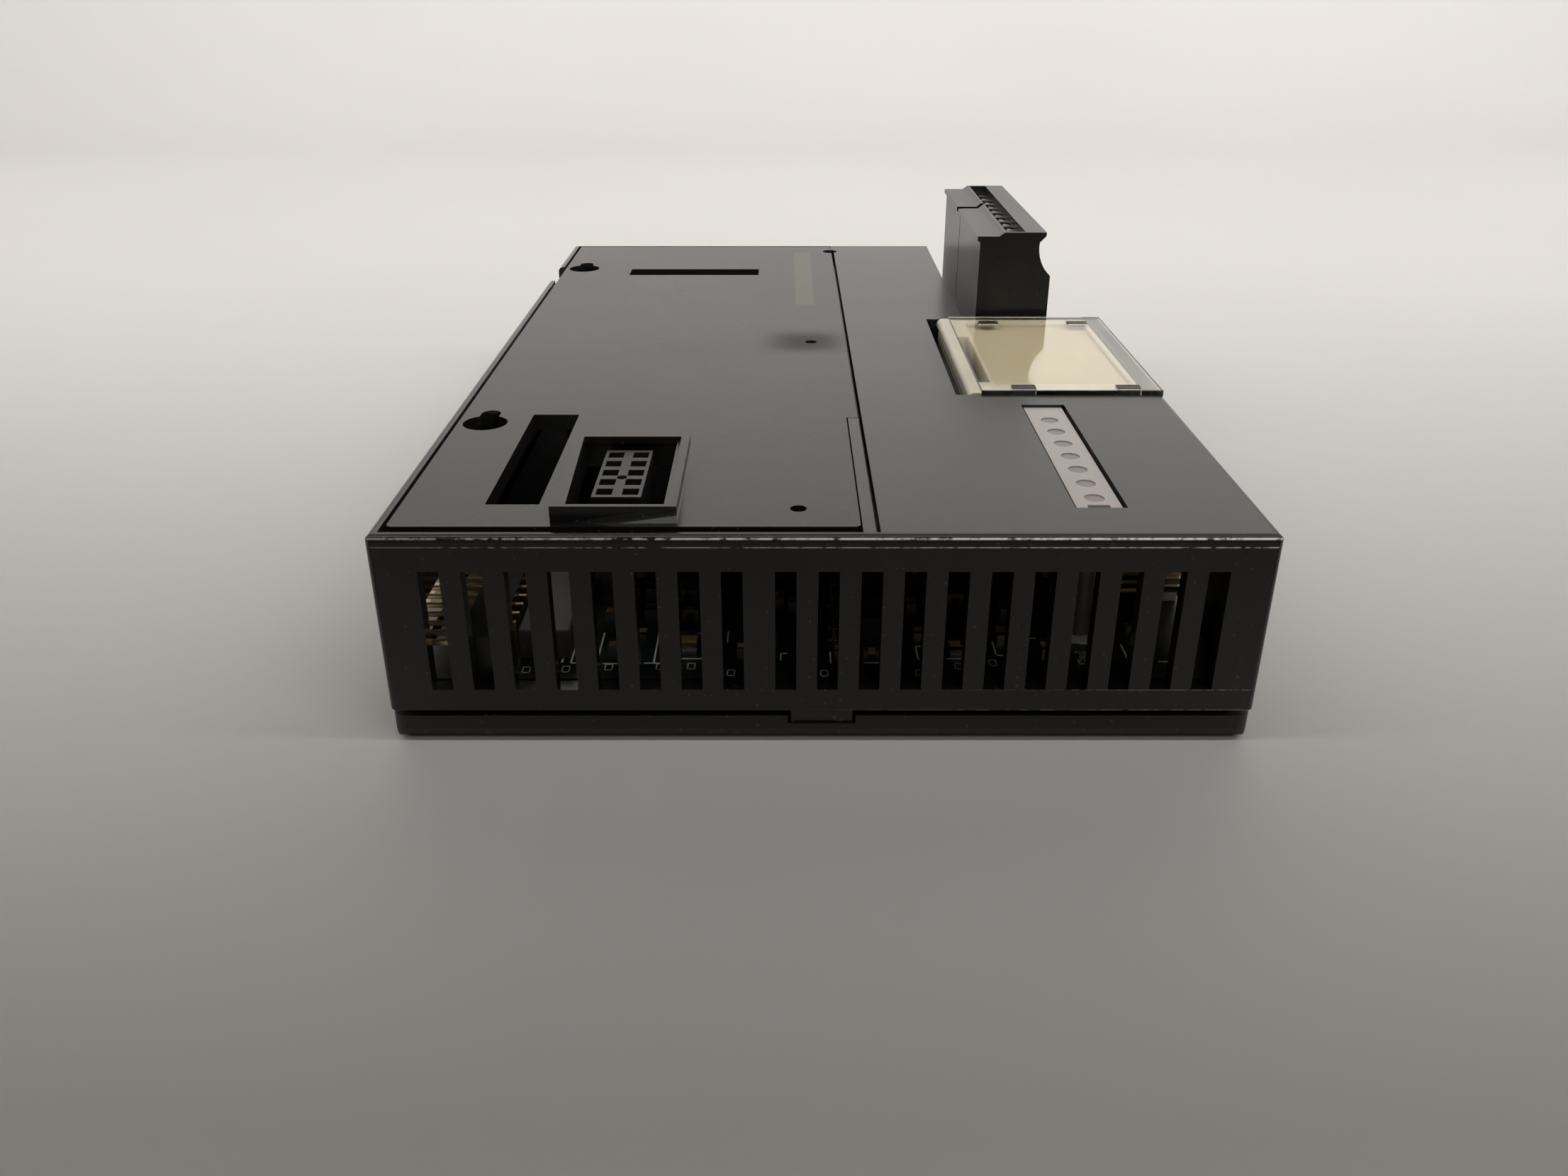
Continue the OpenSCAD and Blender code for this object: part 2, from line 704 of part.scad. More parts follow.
// Slotted clamping screw of pole i, counted from the front
module terminal_screw(i) {
    head_h = 1;
    head_z = clamp_z[1] + 0.1;
    slot_w = 0.5;
    color("#b8b6ae") at(pole_x, pole_y(i - 1)) difference() {
        union() {
            translate([0, 0, head_z]) cylinder(r = screw_head_r, h = head_h);
            translate([0, 0, wire_z + 0.5]) cylinder(r = screw_shank_r, h = head_z - wire_z - 0.5 + eps);
        }
        centred_block(slot_w, 3 * screw_head_r, [head_z + 0.5, head_z + 2]);
    }
}

housing();
base_cover();
mounting_plate();
expansion_socket();
socket_contacts();
upper_board();
board_standoffs();
board_screws();
link_header();
link_pins();
main_board();
bus_header_left();
bus_pins_left();
bus_header_right();
bus_pins_right();
processor_chip();
optocouplers();
capacitors();
power_converter();
choke();
crystal_can();
led_lens();
light_pipes();
status_leds();
label_tray();
label_card();
card_clips();
window_flap();
hinge_bar();
flap_hinge_pins();
terminal_header();
header_pins();
terminal_plug();
wire_clamps();
for (i = [1:poles]) terminal_screw(i);
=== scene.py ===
# %% [markdown]
# # A flat controller module
#
# The object is an expansion module for an industrial controller: a black
# plastic case with vents along its front, an inset plate with a small socket,
# a strip of status lights, a clear hinged window over a label, and a
# pluggable screw terminal standing in a corner bay.
#
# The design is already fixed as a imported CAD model. Blender's job is the
# finish: softened edges, small parts behind the vents, and materials. So the
# lesson starts by loading the model, and never moves or resizes it.

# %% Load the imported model
import json
import math
import random

import bmesh
import bpy
from mathutils import Matrix, Vector

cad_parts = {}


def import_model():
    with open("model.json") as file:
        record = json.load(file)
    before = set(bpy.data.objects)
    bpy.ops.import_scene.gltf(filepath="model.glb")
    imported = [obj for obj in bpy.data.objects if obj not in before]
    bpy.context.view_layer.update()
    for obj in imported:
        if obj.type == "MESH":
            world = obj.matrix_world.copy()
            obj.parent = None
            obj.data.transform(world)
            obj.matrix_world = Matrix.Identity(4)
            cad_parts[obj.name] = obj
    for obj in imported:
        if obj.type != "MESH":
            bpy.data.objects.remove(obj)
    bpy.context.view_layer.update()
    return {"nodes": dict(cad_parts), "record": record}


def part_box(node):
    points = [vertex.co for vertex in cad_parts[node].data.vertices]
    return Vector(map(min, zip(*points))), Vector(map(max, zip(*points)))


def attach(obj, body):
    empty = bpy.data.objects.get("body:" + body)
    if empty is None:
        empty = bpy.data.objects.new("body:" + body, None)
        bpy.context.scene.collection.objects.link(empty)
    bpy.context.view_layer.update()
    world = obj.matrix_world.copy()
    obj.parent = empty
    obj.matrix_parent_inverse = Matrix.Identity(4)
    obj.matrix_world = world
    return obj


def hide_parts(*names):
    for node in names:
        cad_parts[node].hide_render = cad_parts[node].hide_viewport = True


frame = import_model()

NODES = frame["nodes"]
BODY_OF = {name: body for body, names in frame["record"]["behaviour"]["bodies"].items() for name in names}
SLOT_OF = {row["node"]: row["material_slot"] for row in frame["record"]["subparts"]}

# %% [markdown]
# ## Measuring on the case
#
# The CAD file gives every place as a distance from the case's left side, its
# vented front and its underside, in millimetres. It helps to think in the
# same way here, so one short function turns such a place into a point in
# metres. The corner it starts from is read from the model, not typed in.

# %% Places on the case
MM = 0.001
case_low, case_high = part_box("base_cover")
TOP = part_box("housing")[1].z


def at(x, y, z):
    """A point of the case: millimetres from its left side, front and underside."""
    return Vector((case_low.x + x * MM, case_low.y + y * MM, case_low.z + z * MM))


print("case", [round(side / MM, 1) for side in case_high - case_low], "mm, top at", round(TOP / MM, 1))

# %% [markdown]
# ## The camera
#
# The module is seen from close by, from a little above its vented front, with
# a moderately wide lens. That is why the case narrows so fast towards the
# rear. The lens is given as a focal length on a 36 mm sensor, and depth of
# field stays off.

# %% Camera
camera_data = bpy.data.cameras.new("front_camera")
camera_data.sensor_width = 36
camera_data.lens = 29.28
camera_data.clip_start = 0.005
camera = bpy.data.objects.new("front_camera", camera_data)
camera.location = at(38.33, -105.85, 68.98)
camera.rotation_euler = (math.radians(90 - 26.26), 0, 0)
bpy.context.scene.collection.objects.link(camera)
bpy.context.scene.camera = camera
print("camera at", [round(v / MM) for v in camera.location], "mm")

# %% [markdown]
# ## Floor and backdrop
#
# The module stands on one pale sheet that lies flat and then sweeps up behind
# it, so there is no horizon line. A row of vertices that follows that bend,
# extruded sideways, makes the sheet. The glossy top of the case mirrors the
# upright part of it, and this is where most of the grey on the black plastic
# comes from.

# %% Sweep
SWEEP_FRONT = -1.2
SWEEP_BACK = 0.62
SWEEP_RADIUS = 0.25
SWEEP_TOP = 1.1
SWEEP_HALF = 1.4
BEND_STEPS = 12


def pale_sweep():
    """The floor sheet, bent up behind the object."""
    sheet = bmesh.new()
    bend_start = SWEEP_BACK - SWEEP_RADIUS
    points = [(SWEEP_FRONT, 0.0), (0.0, 0.0), (bend_start, 0.0)]
    for step in range(1, BEND_STEPS + 1):
        turn = math.radians(90 * step / BEND_STEPS)
        points.append((bend_start + SWEEP_RADIUS * math.sin(turn),
                       SWEEP_RADIUS - SWEEP_RADIUS * math.cos(turn)))
    points.append((SWEEP_BACK, SWEEP_TOP))
    row = [sheet.verts.new((-SWEEP_HALF, y, z)) for y, z in points]
    edges = [sheet.edges.new(pair) for pair in zip(row, row[1:])]
    made = bmesh.ops.extrude_edge_only(sheet, edges=edges)["geom"]
    moved = [item for item in made if isinstance(item, bmesh.types.BMVert)]
    bmesh.ops.translate(sheet, verts=moved, vec=(2 * SWEEP_HALF, 0, 0))
    bmesh.ops.recalc_face_normals(sheet, faces=sheet.faces)
    mesh = bpy.data.meshes.new("sweep")
    sheet.to_mesh(mesh)
    sheet.free()
    for face in mesh.polygons:
        face.use_smooth = True
    return mesh


sweep = bpy.data.objects.new("sweep", pale_sweep())
bpy.context.scene.collection.objects.link(sweep)
print("sweep has", len(sweep.data.polygons), "faces")

# %% [markdown]
# ## Light
#
# Two large soft panels do the work. The wash faces the upright part of the
# sweep and lights nothing else, so the glossy top of the case, seen at a low
# angle, mirrors a bright sheet while its vented front stays dark. The key
# stands in front, above and to the right. It draws the thin bright line along
# the rounded front edge. A dim surround fills the rest.

# %% Light panels and surround
LIGHT_COLOUR = (1.0, 0.985, 0.965)
SURROUND_FRONT = (0.13, 0.12, 0.112, 1)
SURROUND_BACK = (0.26, 0.255, 0.25, 1)
SURROUND_STRENGTH = 0.8


def soft_panel(name, place, aim, size, energy):
    """A rectangular panel of light at a place, facing another; lengths in metres, energy in watts."""
    data = bpy.data.lights.new(name, "AREA")
    data.shape = "RECTANGLE"
    data.size, data.size_y = size
    data.energy = energy
    data.color = LIGHT_COLOUR
    panel = bpy.data.objects.new(name, data)
    panel.location = place
    panel.rotation_euler = (Vector(aim) - Vector(place)).to_track_quat("-Z", "Y").to_euler()
    bpy.context.scene.collection.objects.link(panel)
    return panel


wash = soft_panel("wash", place=(0.12, -0.09, 0.50), aim=(0.12, 0.6, 0.47), size=(1.7, 0.3), energy=13.0)
key = soft_panel("key", place=(0.24, -0.40, 0.45), aim=(0.02, -0.05, 0.02), size=(0.36, 0.16), energy=0.45)
print("wash", wash.data.energy, "W, key", key.data.energy, "W")

world = bpy.data.worlds.new("pale_surround")
bpy.context.scene.world = world
world.use_nodes = True
sky = world.node_tree
sky.nodes.clear()
direction = sky.nodes.new("ShaderNodeTexCoord")
parts = sky.nodes.new("ShaderNodeSeparateXYZ")
ramp = sky.nodes.new("ShaderNodeValToRGB")
ramp.color_ramp.elements[0].color = SURROUND_FRONT
ramp.color_ramp.elements[1].color = SURROUND_BACK
shift = sky.nodes.new("ShaderNodeMapRange")
shift.inputs["From Min"].default_value = -1
background = sky.nodes.new("ShaderNodeBackground")
background.inputs["Strength"].default_value = SURROUND_STRENGTH
surface = sky.nodes.new("ShaderNodeOutputWorld")
sky.links.new(direction.outputs["Generated"], parts.inputs["Vector"])
sky.links.new(parts.outputs["Y"], shift.inputs["Value"])
sky.links.new(shift.outputs["Result"], ramp.inputs["Fac"])
sky.links.new(ramp.outputs["Color"], background.inputs["Color"])
sky.links.new(background.outputs["Background"], surface.inputs["Surface"])
bpy.context.scene.view_settings.view_transform = "Standard"

# %% [markdown]
# ## Building shader groups
#
# Several finishes share the same small effects: the fine grain of moulded
# plastic, smudges from handling, worn edges. Each effect is a node group with
# named inputs, built once and placed in every material that needs it. A group
# puts out only masks and heights, and each material decides what they do.

# %% Group helper


class Group:
    """A shader node group under construction, with its own small toolbox."""

    def __init__(self, name, inputs, outputs):
        self.tree = bpy.data.node_groups.new(name, "ShaderNodeTree")
        for label, value in inputs.items():
            kind = "NodeSocketVector" if label == "Vector" else "NodeSocketFloat"
            socket = self.tree.interface.new_socket(label, in_out="INPUT", socket_type=kind)
            if kind == "NodeSocketFloat":
                socket.default_value = value
        for label in outputs:
            self.tree.interface.new_socket(label, in_out="OUTPUT", socket_type="NodeSocketFloat")
        self.inputs = self.tree.nodes.new("NodeGroupInput").outputs
        self.outputs = self.tree.nodes.new("NodeGroupOutput").inputs

    def node(self, kind, **values):
        return add_node(self.tree, kind, **values)


def add_node(tree, kind, **values):
    """A node with its sockets set: a value stays a value, a socket is linked."""
    made = tree.nodes.new(kind)
    for name, value in values.items():
        label = name.replace("_", " ")
        if label in made.inputs:
            if isinstance(value, bpy.types.NodeSocket):
                tree.links.new(value, made.inputs[label])
            else:
                made.inputs[label].default_value = value
        else:
            setattr(made, name, value)
    return made


def math_node(tree, operation, first, second=0.0, third=0.0):
    """The result of one Math node."""
    made = tree.nodes.new("ShaderNodeMath")
    made.operation = operation
    for place, value in enumerate((first, second, third)):
        if isinstance(value, bpy.types.NodeSocket):
            tree.links.new(value, made.inputs[place])
        else:
            made.inputs[place].default_value = value
    return made.outputs[0]


print("group helper ready")

# %% [markdown]
# ### Moulded grain
#
# A mould for a case like this is spark eroded, which leaves a fine, even
# pebble on every face. Two noise textures of different size, added together,
# come close to it. The result is a height for a Bump node.

# %% Grain group


def grain_group():
    group = Group("moulded_grain", {"Vector": 0, "Size": 0.35}, ["Height"])
    scale = math_node(group.tree, "DIVIDE", 1000.0, group.inputs["Size"])
    coarse_scale = math_node(group.tree, "MULTIPLY", scale, 0.28)
    fine = group.node("ShaderNodeTexNoise", Vector=group.inputs["Vector"], Scale=scale, Detail=2.0)
    coarse = group.node("ShaderNodeTexNoise", Vector=group.inputs["Vector"], Scale=coarse_scale, Detail=1.0)
    both = math_node(group.tree, "MULTIPLY_ADD", coarse.outputs["Fac"], 0.5, fine.outputs["Fac"])
    group.tree.links.new(both, group.outputs["Height"])
    return group.tree


MOULDED_GRAIN = grain_group()
print(MOULDED_GRAIN.name, "has", len(MOULDED_GRAIN.nodes), "nodes")

# %% [markdown]
# ### Handling marks
#
# Fingers and packing leave soft patches that are a little shinier or duller
# than the rest, and a few specks of dust. Both masks come from noise: the
# patches from a large soft one, the specks from the peaks of a small one.

# %% Handling group


def handling_group():
    group = Group("handling_marks", {"Vector": 0, "Patch Size": 34.0, "Speck Size": 0.5},
                  ["Patches", "Specks"])
    patch_scale = math_node(group.tree, "DIVIDE", 1000.0, group.inputs["Patch Size"])
    speck_scale = math_node(group.tree, "DIVIDE", 1000.0, group.inputs["Speck Size"])
    patch = group.node("ShaderNodeTexNoise", Vector=group.inputs["Vector"], Scale=patch_scale, Detail=2.0)
    patches = group.node("ShaderNodeMapRange", Value=patch.outputs["Fac"], From_Min=0.35, From_Max=0.65)
    speck = group.node("ShaderNodeTexNoise", Vector=group.inputs["Vector"], Scale=speck_scale, Detail=0.0)
    specks = group.node("ShaderNodeMapRange", Value=speck.outputs["Fac"], From_Min=0.76, From_Max=0.80)
    group.tree.links.new(patches.outputs["Result"], group.outputs["Patches"])
    group.tree.links.new(specks.outputs["Result"], group.outputs["Specks"])
    return group.tree


HANDLING_MARKS = handling_group()
print(HANDLING_MARKS.name, "has", len(HANDLING_MARKS.nodes), "nodes")

# %% [markdown]
# ### Worn edge and painted highlight
#
# The long edge above the vents is rubbed by handling. Its bright line is also a painted highlight: the key
# light's reflection on the rounded edge, painted into the colour. The mask is one where a point lies close
# to a line that runs along X at a given
# Y and Z, broken up by noise so that the wear comes and goes. Left and Right
# say how strong it is at the two ends of the case. The right end is brighter
# because the key light falls there, and that difference is painted highlight too.

# %% Worn edge and painted highlight group


def edge_wear_and_highlight_group():
    inputs = {"Vector": 0, "Line Y": 0, "Line Z": 0, "Width": 0.2, "Left": 0.2, "Right": 1.0}
    group = Group("edge_wear_and_highlight", inputs, ["Mask"])
    tree = group.tree
    place = group.node("ShaderNodeSeparateXYZ", Vector=group.inputs["Vector"])
    dy = math_node(tree, "SUBTRACT", place.outputs["Y"], group.inputs["Line Y"])
    dz = math_node(tree, "SUBTRACT", place.outputs["Z"], group.inputs["Line Z"])
    squares = math_node(tree, "MULTIPLY_ADD", dy, dy, math_node(tree, "MULTIPLY", dz, dz))
    distance = math_node(tree, "SQRT", squares)
    reach = math_node(tree, "MULTIPLY", group.inputs["Width"], MM)
    near = math_node(tree, "SUBTRACT", 1.0, math_node(tree, "DIVIDE", distance, reach))
    chips = group.node("ShaderNodeTexNoise", Vector=group.inputs["Vector"], Scale=1400.0, Detail=3.0)
    rubs = group.node("ShaderNodeTexNoise", Vector=group.inputs["Vector"], Scale=140.0, Detail=1.0)
    chip_share = math_node(tree, "MULTIPLY", chips.outputs["Fac"], 0.6)
    mixed = math_node(tree, "MULTIPLY_ADD", rubs.outputs["Fac"], 0.4, chip_share)
    broken = group.node("ShaderNodeMapRange", Value=mixed, From_Min=0.40, From_Max=0.52)
    # painted highlight: the line grows stronger towards the right, where the key light falls
    ends = group.node("ShaderNodeMapRange", Value=place.outputs["X"], From_Min=case_low.x,
                      From_Max=case_high.x, To_Min=group.inputs["Left"], To_Max=group.inputs["Right"])
    crisp = group.node("ShaderNodeMapRange", Value=near, From_Min=0.0, From_Max=0.4)
    mask = math_node(tree, "MULTIPLY", crisp.outputs["Result"], broken.outputs["Result"])
    strength = math_node(tree, "MAXIMUM", ends.outputs["Result"], 0.0)
    tree.links.new(math_node(tree, "MULTIPLY", mask, strength), group.outputs["Mask"])
    return tree


EDGE_WEAR_AND_HIGHLIGHT = edge_wear_and_highlight_group()
print(EDGE_WEAR_AND_HIGHLIGHT.name, "has", len(EDGE_WEAR_AND_HIGHLIGHT.nodes), "nodes")

# %% [markdown]
# ## Materials
#
# A material starts with an Object texture coordinate, so that its pattern
# stays on the piece at its real size. The helper class below keeps each
# material's own code to the few lines that make it different.

# %% Material helper


class Finish:
    """One material, with its shader, its coordinates and short ways to add nodes."""

    def __init__(self, name, **values):
        self.material = bpy.data.materials.new(name)
        self.material.use_nodes = True
        self.tree = self.material.node_tree
        self.shader = self.tree.nodes["Principled BSDF"]
        self.place = self.tree.nodes.new("ShaderNodeTexCoord").outputs["Object"]
        for label, value in values.items():
            self.shader.inputs[label.replace("_", " ")].default_value = value

    def node(self, kind, **values):
        return add_node(self.tree, kind, **values)

    def group(self, tree, **values):
        made = self.tree.nodes.new("ShaderNodeGroup")
        made.node_tree = tree
        self.tree.links.new(self.place, made.inputs["Vector"])
        for label, value in values.items():
            made.inputs[label.replace("_", " ")].default_value = value
        return made.outputs

    def mix(self, mask, low, high):
        """A colour that goes from low to high as the mask goes from 0 to 1."""
        made = self.tree.nodes.new("ShaderNodeMix")
        made.data_type = "RGBA"
        for socket, value in zip((made.inputs[0], made.inputs[6], made.inputs[7]), (mask, low, high)):
            if isinstance(value, bpy.types.NodeSocket):
                self.tree.links.new(value, socket)
            elif isinstance(value, tuple):
                socket.default_value = (*value, 1)
            else:
                socket.default_value = value
        return made.outputs[2]

    def span(self, mask, low, high):
        """A value that goes from low to high as the mask goes from 0 to 1."""
        return self.node("ShaderNodeMapRange", Value=mask, To_Min=low, To_Max=high).outputs["Result"]

    def wire(self, socket, label):
        self.tree.links.new(socket, self.shader.inputs[label])

    def bump(self, height, strength, depth):
        """Relief of the given depth in millimetres."""
        made = self.node("ShaderNodeBump", Height=height, Strength=strength, Distance=depth * MM)
        self.wire(made.outputs["Normal"], "Normal")


FINISHES = {}


def finish(slot):
    """Files the material that a function makes under its slot's name."""
    def file(maker):
        FINISHES[slot] = maker()
        return maker
    return file


print("material helper ready")

# %% [markdown]
# ### Case plastic
#
# All the shells are the same family of plastic: near-black with a fine
# moulded grain and a satin shine. Nearly all the grey on them is reflection,
# so the colour itself stays very dark. One function makes it, with the tone
# and the roughness as arguments. Patches change the roughness, and specks of
# dust lighten the colour.

# %% Moulded plastic
DUST_COLOUR = (0.3, 0.29, 0.27)
PATCH_ROUGHNESS = 0.015


class Plastic(Finish):
    """Moulded plastic: grain, patches of handling and specks of dust."""

    def __init__(self, name, dark, light, rough, grain=0.35, relief=0.012, dust=0.12, ior=1.45):
        super().__init__(name, IOR=ior)
        marks = self.group(HANDLING_MARKS)
        self.patches = marks["Patches"]
        self.colour = self.mix(self.patches, dark, light)
        specks = math_node(self.tree, "MULTIPLY", marks["Specks"], dust)
        self.colour = self.mix(specks, self.colour, DUST_COLOUR)
        self.roughness = self.span(self.patches, rough - PATCH_ROUGHNESS, rough + PATCH_ROUGHNESS)
        self.bump(self.group(MOULDED_GRAIN, Size=grain)["Height"], 0.3, relief)

    def done(self):
        self.wire(self.colour, "Base Color")
        self.wire(self.roughness, "Roughness")
        return self.material


def grey(tone, warmth=0.0):
    """A dark grey, a little warmer where the warmth is above zero."""
    return (tone * (1 + warmth), tone, tone * (1 - warmth))


PLAIN_PLASTICS = {
    # the dark and the light tone, the roughness and the size of the grain in mm
    "base_plastic": (grey(0.007, 0.05), grey(0.010, 0.05), 0.40, 0.35),
    "terminal_plastic": (grey(0.008), grey(0.011), 0.30, 0.30),
    "connector_plastic": (grey(0.012), grey(0.018), 0.38, 0.20),
    "pale_connector": (grey(0.70, 0.03), grey(0.78, 0.03), 0.40, 0.20),
    "chip": (grey(0.012), grey(0.018), 0.50, 0.15),
    "converter_case": (grey(0.10, 0.04), grey(0.22, 0.04), 0.45, 0.60),
    "ferrite": (grey(0.06), grey(0.09), 0.70, 0.25),
    "clip_plastic": ((0.022, 0.018, 0.011), (0.034, 0.028, 0.018), 0.45, 0.20),
}
for slot, (dark, light, rough, grain) in PLAIN_PLASTICS.items():
    FINISHES[slot] = Plastic(slot, dark, light, rough, grain).done()
print(len(FINISHES), "moulded finishes")

# %% [markdown]
# The upper shell adds wear and painted highlights: a bright broken line along its rounded
# front edge, a fainter one a millimetre below it, and traces along the lower ends of
# the vents and the lower rim. Each line is partly rubbed wear and partly a painted
# highlight where these edges catch the key light. A strength below zero at the left starts
# the line part of the way along. Places come from the case's own box.

# %% Case plastic with worn edges and painted highlights
# pale colour of the edge lines: a painted highlight, partly real wear
WEAR_AND_HIGHLIGHT_COLOUR = (0.95, 0.94, 0.91)
WEAR_AND_HIGHLIGHT_LINES = (
    # below the top, behind the front and width in mm, then the strength at the left and at the right
    (0.34, 0.145, 0.13, 0.30, 1.2),
    (1.15, 0.0, 0.07, 0.20, 0.9),
    (16.2, 0.0, 0.07, -0.3, 0.2),
    (18.45, 0.0, 0.07, -0.2, 0.25),
)


@finish("case_plastic")
def case_finish():
    case = Plastic("case_plastic", grey(0.0075, 0.04), grey(0.0105, 0.04), 0.25, ior=1.5)
    for below, behind, width, left, right in WEAR_AND_HIGHLIGHT_LINES:
        # each mask paints a pale line along an edge: a painted highlight, partly real wear
        wear = case.group(EDGE_WEAR_AND_HIGHLIGHT, Line_Y=case_low.y + behind * MM, Line_Z=TOP - below * MM,
                          Width=width, Left=left, Right=right)["Mask"]
        case.colour = case.mix(wear, case.colour, WEAR_AND_HIGHLIGHT_COLOUR)
    return case.done()


print("case plastic has", len(WEAR_AND_HIGHLIGHT_LINES), "lines of wear")

# %% [markdown]
# The inset plate is the same plastic, but an old adhesive strip has left a
# faint olive band near its rear right corner, and a greasy dark smear lies
# around its middle hole. Both are soft masks from the distance to a place,
# roughened by noise.

# %% Plate plastic with its marks
STRIP_PLACE = at(41.5, 105.5, 22)
STRIP_HALF = (1.3, 19.0)
STRIP_COLOUR = (0.10, 0.105, 0.035)
STRIP_SHARE = 0.6
SMEAR_PLACE = at(41.2, 65.5, 22)
SMEAR_ROUGHNESS = 0.28


def near_place(finish_made, place, half, soft, ragged=0.25):
    """One inside a rectangle around a place, falling to zero over a soft border, in mm."""
    tree = finish_made.tree
    noise = finish_made.node("ShaderNodeTexNoise", Vector=finish_made.place, Scale=260.0, Detail=3.0)
    apart = finish_made.node("ShaderNodeVectorMath", operation="SUBTRACT")
    tree.links.new(finish_made.place, apart.inputs[0])
    apart.inputs[1].default_value = place
    sides = finish_made.node("ShaderNodeSeparateXYZ", Vector=apart.outputs["Vector"])
    masks = []
    for axis, reach in zip("XY", half):
        away = math_node(tree, "ABSOLUTE", sides.outputs[axis])
        masks.append(finish_made.node("ShaderNodeMapRange", Value=away, From_Min=reach * MM,
                                      From_Max=(reach + soft) * MM, To_Min=1.0, To_Max=0.0,
                                      interpolation_type="SMOOTHSTEP").outputs["Result"])
    inside = math_node(tree, "MULTIPLY", masks[0], masks[1])
    rough_edge = finish_made.span(noise.outputs["Fac"], 1 - ragged * 2, 1.0)
    return math_node(tree, "MULTIPLY", inside, rough_edge)


@finish("plate_plastic")
def plate_finish():
    plate = Plastic("plate_plastic", grey(0.0085, 0.03), grey(0.0115, 0.03), 0.28)
    strip = near_place(plate, STRIP_PLACE, STRIP_HALF, soft=0.25)
    olive = math_node(plate.tree, "MULTIPLY", strip, STRIP_SHARE)
    plate.colour = plate.mix(olive, plate.colour, STRIP_COLOUR)
    smear = near_place(plate, SMEAR_PLACE, (1.0, 1.0), soft=6.5, ragged=0.15)
    plate.roughness = math_node(plate.tree, "MULTIPLY_ADD", smear, SMEAR_ROUGHNESS, plate.roughness)
    return plate.done()


print("plate plastic ready")

# %% [markdown]
# ### Metals
#
# The bus pins are gold plated, the header pins tinned, the clamps brass and
# the screws zinc plated steel. A metal's colour is its Base Color with
# Metallic at one. Small scratches are a stretched noise that changes only the
# roughness, because that is what the eye sees on metal.

# %% Metal finishes


def metal(name, dull, bright, rough, stretch=(1, 1, 6)):
    made = Finish(name, Metallic=1.0)
    marks = made.group(HANDLING_MARKS, Patch_Size=3.0)
    made.wire(made.mix(marks["Patches"], dull, bright), "Base Color")
    mapping = made.node("ShaderNodeMapping", Vector=made.place, Scale=stretch)
    scratches = made.node("ShaderNodeTexNoise", Vector=mapping.outputs["Vector"], Scale=1500.0, Detail=3.0)
    made.wire(made.span(scratches.outputs["Fac"], rough - 0.08, rough + 0.12), "Roughness")
    made.bump(scratches.outputs["Fac"], 0.2, 0.01)
    return made.material


FINISHES["gold"] = metal("gold", (0.90, 0.62, 0.26), (1.0, 0.78, 0.40), 0.30)
FINISHES["brass_fittings"] = metal("brass_fittings", (0.55, 0.42, 0.2), (0.7, 0.56, 0.3), 0.32)
FINISHES["steel_screws"] = metal("steel_screws", (0.46, 0.46, 0.44), (0.6, 0.6, 0.58), 0.3)
FINISHES["can_metal"] = metal("can_metal", (0.5, 0.51, 0.52), (0.64, 0.65, 0.66), 0.3)
FINISHES["tin_pins"] = metal("tin_pins", (0.55, 0.54, 0.52), (0.7, 0.69, 0.66), 0.28)
FINISHES["copper_wire"] = metal("copper_wire", (0.45, 0.17, 0.07), (0.62, 0.27, 0.12), 0.3)
print(len(FINISHES), "finishes so far")

# %% [markdown]
# ### Circuit board
#
# A board is glass fibre under a dark green lacquer. Copper tracks under the
# lacquer stand out as slightly lighter, raised lines. A Brick texture draws
# them: the thin mortar between its bricks is the line. Noise hides half of
# them, so that they don't read as a wall. The pale print on top is geometry.

# %% Board finish


@finish("board")
def board_finish():
    board = Finish("board", Roughness=0.30, IOR=1.5)
    bricks = board.node("ShaderNodeTexBrick", Vector=board.place, Scale=770.0, Mortar_Size=0.12,
                        Mortar_Smooth=0.1, Color1=(0, 0, 0, 1), Color2=(0, 0, 0, 1), Mortar=(1, 1, 1, 1))
    hide = board.node("ShaderNodeTexNoise", Vector=board.place, Scale=300.0, Detail=0.0)
    kept = math_node(board.tree, "GREATER_THAN", hide.outputs["Fac"], 0.5)
    tracks = math_node(board.tree, "MULTIPLY", bricks.outputs["Fac"], kept)
    board.wire(board.mix(tracks, (0.0035, 0.009, 0.0065), (0.006, 0.017, 0.011)), "Base Color")
    board.wire(board.span(tracks, 0.3, 0.36), "Roughness")
    board.bump(tracks, 0.4, 0.03)
    return board.material


@finish("print_ink")
def print_finish():
    ink = Finish("print_ink", IOR=1.45)
    wear = ink.group(HANDLING_MARKS, Patch_Size=2.0)["Patches"]
    ink.wire(ink.mix(wear, (0.80, 0.80, 0.77), (0.92, 0.92, 0.89)), "Base Color")
    ink.wire(ink.span(wear, 0.5, 0.7), "Roughness")
    return ink.material


print("board finish ready")

# %% [markdown]
# ### Clear and milky plastics
#
# The window is real clear plastic, so it is a solid sheet with Transmission
# at one and a slight yellow tint from age. Its shadow is made faint, so that
# light from the panels reaches the label under it. The light strip is milky: light
# goes in and scatters, which the Subsurface inputs do. The smoky pipes in it
# are darker and shinier.

# %% Clear and milky finishes
SHADOW_SHARE = 0.12


@finish("clear_window")
def window_finish():
    clear = Finish("clear_window", Transmission_Weight=1.0, IOR=1.47, Metallic=0.0)
    marks = clear.group(HANDLING_MARKS, Patch_Size=12.0)
    clear.wire(clear.mix(marks["Patches"], (0.94, 0.92, 0.85), (0.96, 0.95, 0.90)), "Base Color")
    clear.wire(clear.span(marks["Patches"], 0.03, 0.09), "Roughness")
    shadow = clear.node("ShaderNodeLightPath").outputs["Is Shadow Ray"]
    clear.wire(clear.span(shadow, 1.0, SHADOW_SHARE), "Alpha")
    return clear.material


